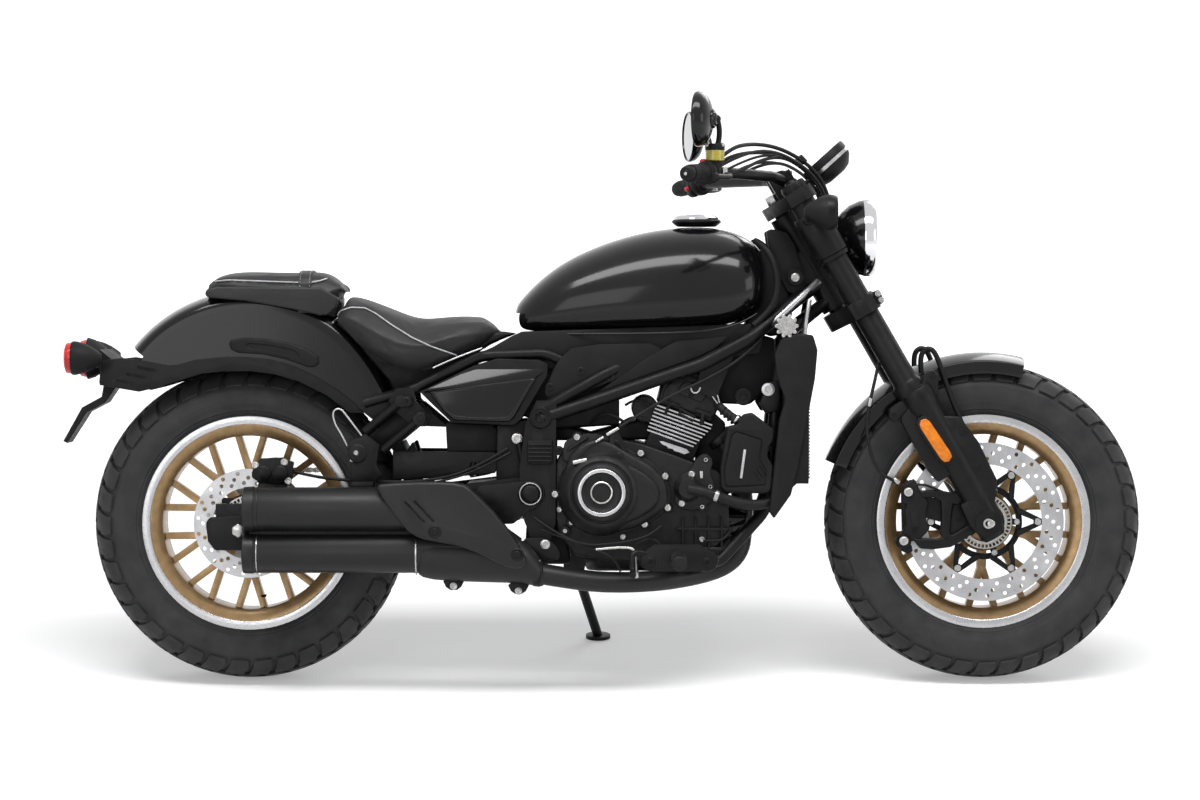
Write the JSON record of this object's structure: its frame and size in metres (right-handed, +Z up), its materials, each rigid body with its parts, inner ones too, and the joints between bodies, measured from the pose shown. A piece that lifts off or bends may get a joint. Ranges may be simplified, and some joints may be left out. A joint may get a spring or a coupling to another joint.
{
  "type": "cruiser motorcycle",
  "caption": "Low black cruiser motorcycle with bronze spoked wheels, teardrop tank and twin mufflers, parked on its side stand.",
  "frame": {"origin": "on the ground at the centre of the bounding box of the motorcycle leaning on its side stand", "axes": "+X forward, +Y to the rider's left, which is also the way it leans, +Z up"},
  "size_m": [2.1829, 0.8337, 1.2153],
  "materials": {
    "alloy": "satin",
    "black_plastic": "matte",
    "bright_steel": "brushed",
    "bronze": "satin",
    "chrome": "polished",
    "engine_black": "satin",
    "gloss_black": "gloss",
    "lamp_red": "gloss",
    "leather": "satin",
    "lens": "clear",
    "rubber": "matte",
    "satin_black": "satin",
    "tyre": "matte"
  },
  "bodies": {
    "chassis": {"drive_chain": "bright_steel", "main_frame": "satin_black", "swingarm": "satin_black", "swingarm_pivot": "satin_black", "inner_mudguard": "black_plastic", "shock": "satin_black", "rear_caliper": "satin_black", "rear_axle": "alloy", "fuel_tank": "gloss_black", "tank_cap": "black_plastic", "rider_seat": "leather", "pillion_seat": "leather", "rear_fender": "gloss_black", "fender_bands": "satin_black", "tail_lamp": "lamp_red", "plate_bracket": "satin_black", "rear_signals": "satin_black", "side_covers": "satin_black", "air_box": "black_plastic", "frame_covers": "satin_black", "crankcase": "engine_black", "clutch_cover": "engine_black", "generator_cover": "engine_black", "cylinder_block": "engine_black", "cylinder_head": "engine_black", "radiator": "satin_black", "radiator_shrouds": "satin_black", "coolant_box": "black_plastic", "exhaust_header": "satin_black", "mufflers": "satin_black", "heat_shield": "satin_black", "rear_hangers": "satin_black", "foot_controls": "satin_black", "stand_bracket": "satin_black"},
    "steering": {"fork_clamps": "satin_black", "fork_outer_tubes": "satin_black", "stanchions": "chrome", "fork_lowers": "satin_black", "front_axle": "alloy", "handlebar": "satin_black", "hand_controls": "rubber", "mirrors": "satin_black", "headlamp": "gloss_black", "headlamp_lens": "lens", "front_signals": "satin_black", "instrument": "satin_black", "front_fender": "gloss_black", "fender_stays": "satin_black", "front_caliper": "satin_black"},
    "front_wheel": {"front_tyre": "tyre", "front_rim": "bronze", "front_disc": "bright_steel"},
    "rear_wheel": {"rear_tyre": "tyre", "rear_rim": "bronze", "rear_disc": "bright_steel", "rear_sprocket": "bright_steel"},
    "side_stand": {"side_stand": "satin_black"}
  },
  "joints": [
    {"name": "steering", "type": "hinge", "parent": "chassis", "child": "steering", "pos_m": [0.42686, -0.01998, 0.82409], "axis": [-0.5, 0.1578, 0.8515], "range_deg": [-36, 36]},
    {"name": "front_wheel_spin", "type": "hinge", "parent": "steering", "child": "front_wheel", "pos_m": [0.7715, -0.11418, 0.31581], "axis": [0, 0.9833, -0.1822], "continuous": true},
    {"name": "rear_wheel_spin", "type": "hinge", "parent": "chassis", "child": "rear_wheel", "pos_m": [-0.7135, -0.1147, 0.31305], "axis": [0, 0.9833, -0.1822], "continuous": true},
    {"name": "side_stand_fold", "type": "hinge", "parent": "chassis", "child": "side_stand", "pos_m": [-0.0585, 0.03019, 0.18939], "axis": [0, 0.8784, 0.478], "range_deg": [0, 98]}
  ]
}
